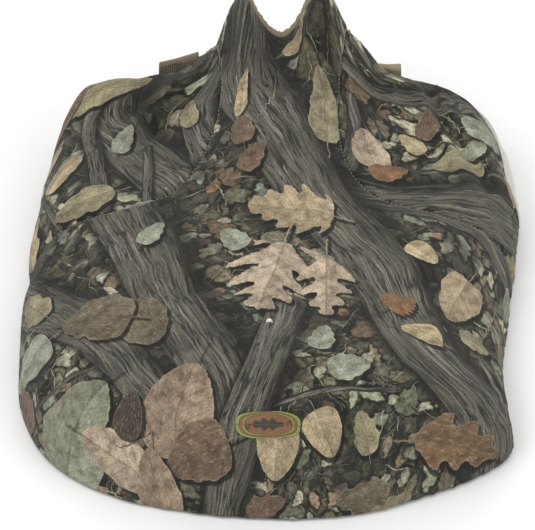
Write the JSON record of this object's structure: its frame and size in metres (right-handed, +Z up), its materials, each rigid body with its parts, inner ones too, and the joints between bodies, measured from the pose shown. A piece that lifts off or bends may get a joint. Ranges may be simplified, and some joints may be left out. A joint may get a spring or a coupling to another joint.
{
  "type": "quad bike seat cover",
  "caption": "Saddle-shaped camouflage fabric seat cover with a foam pad, two side panels, elastic hem and buckled straps.",
  "frame": {"origin": "centre of the footprint, on the plane that the hem stands on", "axes": "+Y towards the nose of the seat, +Z up, +X to the rider's right"},
  "size_m": [0.5, 0.58, 0.2056],
  "materials": {
    "camo_cloth": "woven polyester with a leaf and bark print, matte",
    "foam": "open-cell foam, matte",
    "backing_cloth": "white knitted backing, matte",
    "tape": "woven seam tape, matte",
    "thread": "twisted polyester thread",
    "hem_cloth": "printed cloth folded into a casing, matte",
    "elastic": "braided elastic cord",
    "webbing": "woven polyester webbing",
    "buckle_plastic": "moulded acetal, fine texture",
    "badge_twill": "embroidered ground",
    "badge_border_thread": "satin stitched border",
    "badge_leaf_thread": "satin stitched leaf"
  },
  "bodies": {
    "cover": {"centre_panel": "camo_cloth", "side_panel_left": "camo_cloth", "side_panel_right": "camo_cloth", "foam_pad": "foam", "backing_centre": "backing_cloth", "backing_left": "backing_cloth", "backing_right": "backing_cloth", "seam_tape_left": "tape", "seam_tape_right": "tape", "topstitch_left": "thread", "topstitch_right": "thread", "hem_casing_left": "hem_cloth", "hem_casing_right": "hem_cloth", "hem_casing_rear": "hem_cloth", "hem_casing_front": "hem_cloth", "hem_elastic": "elastic", "pull_loop_left": "webbing", "pull_loop_right": "webbing", "front_web_left": "webbing", "front_web_right": "webbing", "front_buckle_socket": "buckle_plastic", "rear_web_left": "webbing", "rear_web_right": "webbing", "rear_buckle_socket": "buckle_plastic", "badge_base": "badge_twill", "badge_border": "badge_border_thread", "badge_leaf": "badge_leaf_thread"},
    "front_prongs": {"front_buckle_prongs": "buckle_plastic"},
    "rear_prongs": {"rear_buckle_prongs": "buckle_plastic"}
  },
  "joints": [
    {"name": "front_buckle_release", "type": "slide", "parent": "cover", "child": "front_prongs", "axis": [1, 0, 0], "range_m": [0, 0.032]},
    {"name": "rear_buckle_release", "type": "slide", "parent": "cover", "child": "rear_prongs", "axis": [1, 0, 0], "range_m": [0, 0.032]}
  ]
}
